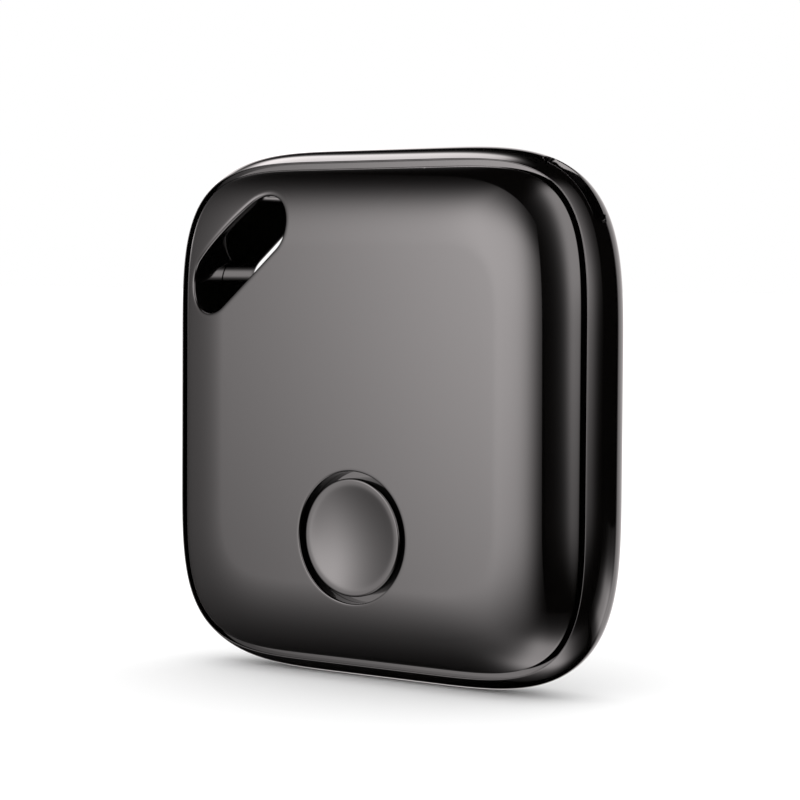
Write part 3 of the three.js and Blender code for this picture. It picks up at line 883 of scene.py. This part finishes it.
# Each light is a flat panel that faces the tag from a direction, with radiance
# peak / ((1 + |u / width|^n)(1 + |v / height|^m)) about its brightest place.
lights = {
    "softbox": {"azimuth": -55.48, "elevation": -13.84, "distance": 97.57, "middle": (75.2, 60.6),
                "width": (49.2, 155.1), "height": (77.1, 100.95), "power": (2.64, 2.85), "peak": 8.25,
                "half": (420.0, 300.0)},
    "stripRight": {"azimuth": 51.9, "elevation": 33.2, "roll": 14.8, "distance": 600.0,
                   "width": (128.0, 225.0), "height": (452.0, 500.0), "power": (4.0, 8.0), "peak": 4.9,
                   "half": (500.0, 1000.0)},
    "topLeft": {"azimuth": -114.0, "elevation": 50.0, "distance": 600.0,
                "width": (62.0, 62.0), "height": (140.0, 140.0), "power": (7.0, 7.0), "peak": 6.2,
                "half": (200.0, 300.0)},
    "lowRight": {"azimuth": 40.0, "elevation": -75.0, "distance": 600.0,
                 "width": (238.0, 238.0), "height": (238.0, 238.0), "power": (5.0, 5.0), "peak": 4.9,
                 "half": (600.0, 600.0)},
    "backLeft": {"azimuth": -128.0, "elevation": 15.0, "distance": 600.0,
                 "width": (135.0, 120.0), "height": (118.0, 118.0), "power": (9.0, 9.0), "peak": 2.0,
                 "half": (220.0, 220.0)},
    "rear": {"azimuth": 135.0, "elevation": -24.0, "distance": 600.0,
             "width": (230.0, 230.0), "height": (95.0, 95.0), "power": (5.0, 5.0), "peak": 3.0,
             "half": (460.0, 180.0)},
    "backdrop": {"azimuth": 192.0, "elevation": 2.0, "distance": 600.0,
                 "width": (375.0, 375.0), "height": (380.0, 380.0), "power": (24.0, 24.0), "peak": 1.05,
                 "half": (460.0, 460.0)},
}
lightTone = (1.04, 0.98, 0.98)


def addSlope(tree, place, axis, middle, widths, power):
    # 1 + |(place . axis - middle) / width|^power, with its own width on each side
    def addMath(operation, first, second=None):
        node = addNode(tree, "ShaderNodeMath", operation=operation)
        for socket, value in zip(node.inputs, (first, second)):
            if isinstance(value, float):
                socket.default_value = value
            elif value is not None:
                tree.links.new(value, socket)
        return node.outputs[0]

    along = addNode(tree, "ShaderNodeVectorMath", operation="DOT_PRODUCT")
    along.inputs[1].default_value = axis / mm
    tree.links.new(place, along.inputs[0])
    shifted = addMath("SUBTRACT", along.outputs["Value"], middle)
    below = addMath("MULTIPLY", addMath("MINIMUM", shifted, 0.0), -1.0 / widths[0])
    above = addMath("MULTIPLY", addMath("MAXIMUM", shifted, 0.0), 1.0 / widths[1])
    return addMath("ADD", addMath("POWER", addMath("ADD", below, above), power), 1.0)


def addLight(name, light):
    # roll and middle are zero where a light doesn't name them
    out = outward(light)
    roll = math.radians(light.get("roll", 0.0))
    middle = light.get("middle", (0.0, 0.0))
    level = Vector((0, 0, 1)).cross(out).normalized()
    upright = out.cross(level)
    axisU = level * math.cos(roll) + upright * math.sin(roll)
    axisV = upright * math.cos(roll) - level * math.sin(roll)
    plane = addPlane(name, out * light["distance"] * mm, axisU, axisV, light["half"][0] * mm, light["half"][1] * mm)
    material, tree, shader = newMaterial(name + "Light")
    tree.nodes.remove(shader)
    place = addNode(tree, "ShaderNodeNewGeometry").outputs["Position"]
    slopeU = addSlope(tree, place, axisU, middle[0], light["width"], light["power"][0])
    slopeV = addSlope(tree, place, axisV, middle[1], light["height"], light["power"][1])
    both = addNode(tree, "ShaderNodeMath", operation="MULTIPLY")
    tree.links.new(slopeU, both.inputs[0])
    tree.links.new(slopeV, both.inputs[1])
    strength = addNode(tree, "ShaderNodeMath", operation="DIVIDE")
    strength.inputs[0].default_value = light["peak"]
    tree.links.new(both.outputs[0], strength.inputs[1])
    emit = addNode(tree, "ShaderNodeEmission", Color=(*lightTone, 1))
    tree.links.new(strength.outputs[0], emit.inputs["Strength"])
    clear = addNode(tree, "ShaderNodeBsdfTransparent")
    total = addNode(tree, "ShaderNodeAddShader")
    tree.links.new(emit.outputs[0], total.inputs[0])
    tree.links.new(clear.outputs[0], total.inputs[1])
    tree.links.new(total.outputs[0], tree.nodes["Material Output"].inputs["Surface"])
    plane.data.materials.append(material)
    plane.visible_camera = False
    plane.visible_shadow = False
    plane.visible_diffuse = False


for lightName, light in lights.items():
    addLight(lightName, light)


def addWorld():
    world = bpy.data.worlds.new("studio")
    bpy.context.scene.world = world
    world.use_nodes = True
    tree = world.node_tree
    tree.nodes.clear()
    link = tree.links.new
    path = addNode(tree, "ShaderNodeLightPath")
    seen = addNode(tree, "ShaderNodeBackground", Color=(1, 1, 1, 1), Strength=1.0)
    fill = addNode(tree, "ShaderNodeBackground", Color=(1, 1, 1, 1), Strength=1.45)
    dark = addNode(tree, "ShaderNodeBackground", Strength=0.0)
    diffuse = addNode(tree, "ShaderNodeMixShader")
    link(path.outputs["Is Diffuse Ray"], diffuse.inputs[0])
    link(dark.outputs[0], diffuse.inputs[1])
    link(fill.outputs[0], diffuse.inputs[2])
    final = addNode(tree, "ShaderNodeMixShader")
    link(path.outputs["Is Camera Ray"], final.inputs[0])
    link(diffuse.outputs[0], final.inputs[1])
    link(seen.outputs[0], final.inputs[2])
    output = addNode(tree, "ShaderNodeOutputWorld")
    link(final.outputs[0], output.inputs[0])


addWorld()
bpy.context.scene.view_settings.view_transform = "Standard"
print("stage made")
